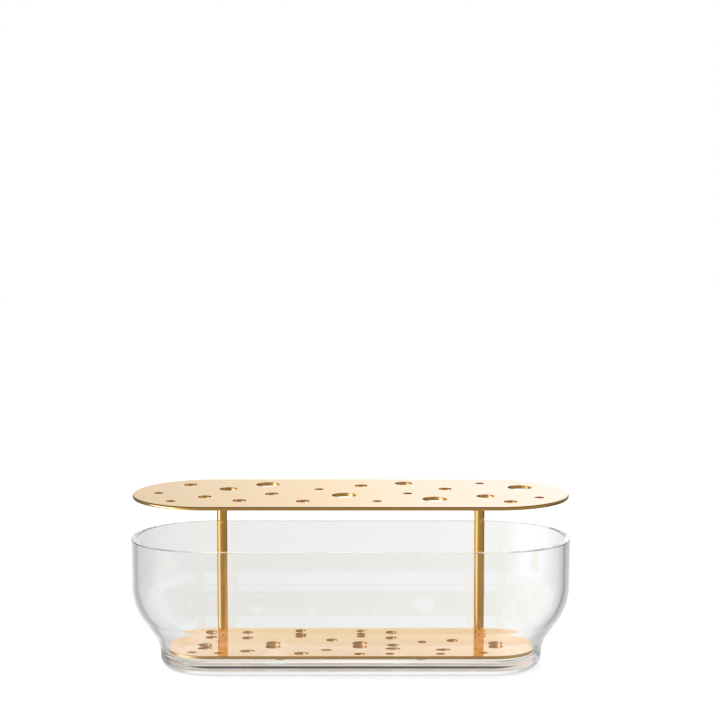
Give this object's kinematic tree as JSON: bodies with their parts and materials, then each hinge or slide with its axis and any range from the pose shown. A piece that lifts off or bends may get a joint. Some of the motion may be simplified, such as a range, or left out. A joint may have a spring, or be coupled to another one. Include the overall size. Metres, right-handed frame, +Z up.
{
  "type": "ikebana vase",
  "caption": "Oblong clear glass bowl on a narrower foot, with a lift-out brass insert: perforated plates joined by round posts, which hold flower stems upright.",
  "frame": {"origin": "middle of the bowl, on the surface that it stands on", "axes": "+Z up, +X along the bowl, +Y from front to back, so the pictured side faces -Y"},
  "size_m": [0.361, 0.13, 0.1438],
  "materials": {
    "glass": "clear glass, flat polished rim",
    "plate_brass": "mirror-polished brass",
    "post_brass": "polished brass rod",
    "fastener_brass": "plain turned brass",
    "clear_rubber": "clear soft bumper"
  },
  "bodies": {
    "bowl": {"glass_bowl": "glass"},
    "insert": {"upper_plate": "plate_brass", "lower_plate": "plate_brass", "left_post": "post_brass", "right_post": "post_brass", "left_top_stud": "fastener_brass", "right_top_stud": "fastener_brass", "left_post_screw": "fastener_brass", "right_post_screw": "fastener_brass", "front_left_foot": "clear_rubber", "front_right_foot": "clear_rubber", "back_left_foot": "clear_rubber", "back_right_foot": "clear_rubber"}
  },
  "joints": [
    {"name": "insert_lift", "type": "slide", "parent": "bowl", "child": "insert", "axis": [0, 0, 1], "range_m": [0, 0.12]}
  ]
}
